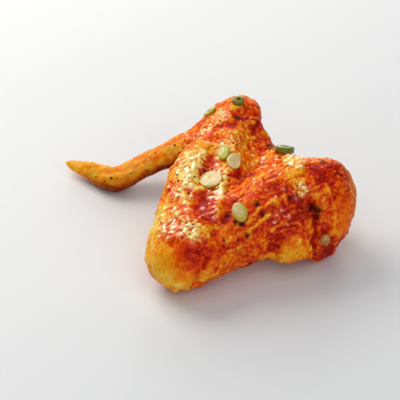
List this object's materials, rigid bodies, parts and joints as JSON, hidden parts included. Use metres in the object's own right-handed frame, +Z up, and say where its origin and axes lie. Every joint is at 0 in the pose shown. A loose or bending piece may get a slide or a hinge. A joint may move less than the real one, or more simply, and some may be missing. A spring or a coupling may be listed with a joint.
{
  "type": "glazed chicken wing",
  "caption": "Roasted whole chicken wing, folded in a Z from shoulder to tip, with glazed skin and slices of spring onion on it.",
  "frame": {"origin": "middle of the bounding box's base, on the surface that the wing lies on", "axes": "+X from the wing's tip towards its shoulder end, +Y from the elbow towards the wrist, +Z up"},
  "size_m": [0.12, 0.0992, 0.038],
  "materials": {
    "skin": "wet orange-brown glaze over roasted skin, with red pools, charred spots and pepper",
    "onion_pale": "moist, pale yellow-green rings",
    "onion_green": "moist, green outside and paler inside"
  },
  "bodies": {
    "root": {"wing": "skin", "spring_onion_1": "onion_pale", "spring_onion_2": "onion_green", "spring_onion_3": "onion_green", "spring_onion_4": "onion_pale", "spring_onion_5": "onion_pale", "spring_onion_6": "onion_pale", "spring_onion_7": "onion_green", "spring_onion_8": "onion_pale"}
  },
  "joints": []
}
